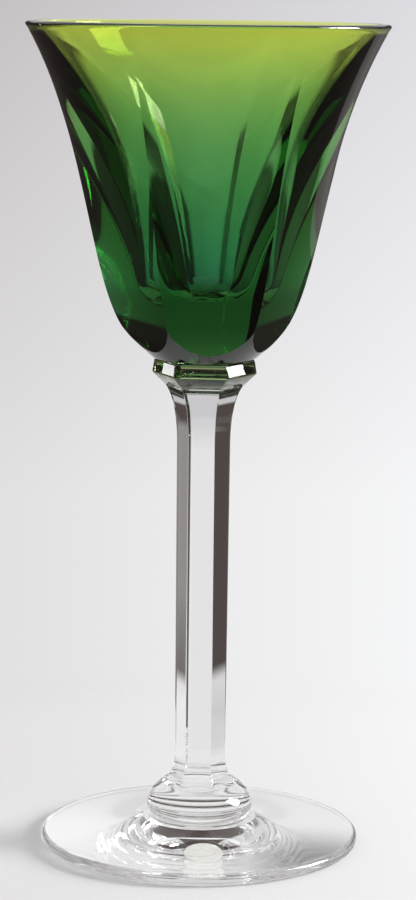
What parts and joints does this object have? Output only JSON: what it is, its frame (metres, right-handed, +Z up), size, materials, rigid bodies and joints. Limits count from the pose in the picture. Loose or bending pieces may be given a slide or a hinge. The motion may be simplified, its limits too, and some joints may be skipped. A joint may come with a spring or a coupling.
{
  "type": "hock wine glass",
  "caption": "Stemmed wine glass with a flared green bowl cut in flat panels, on a clear faceted stem with a collar and a round foot.",
  "frame": {"origin": "on the table under the middle of the foot", "axes": "+Z up along the stem toward the rim, front of the glass toward -Y"},
  "size_m": [0.0846, 0.0846, 0.195],
  "materials": {
    "green_glass": "polished, yellow-green at the rim and deeper green at the base",
    "clear_glass": "polished clear crystal"
  },
  "bodies": {
    "root": {"bowl": "green_glass", "collar": "clear_glass", "stem": "clear_glass", "button": "clear_glass", "foot": "clear_glass"}
  },
  "joints": []
}
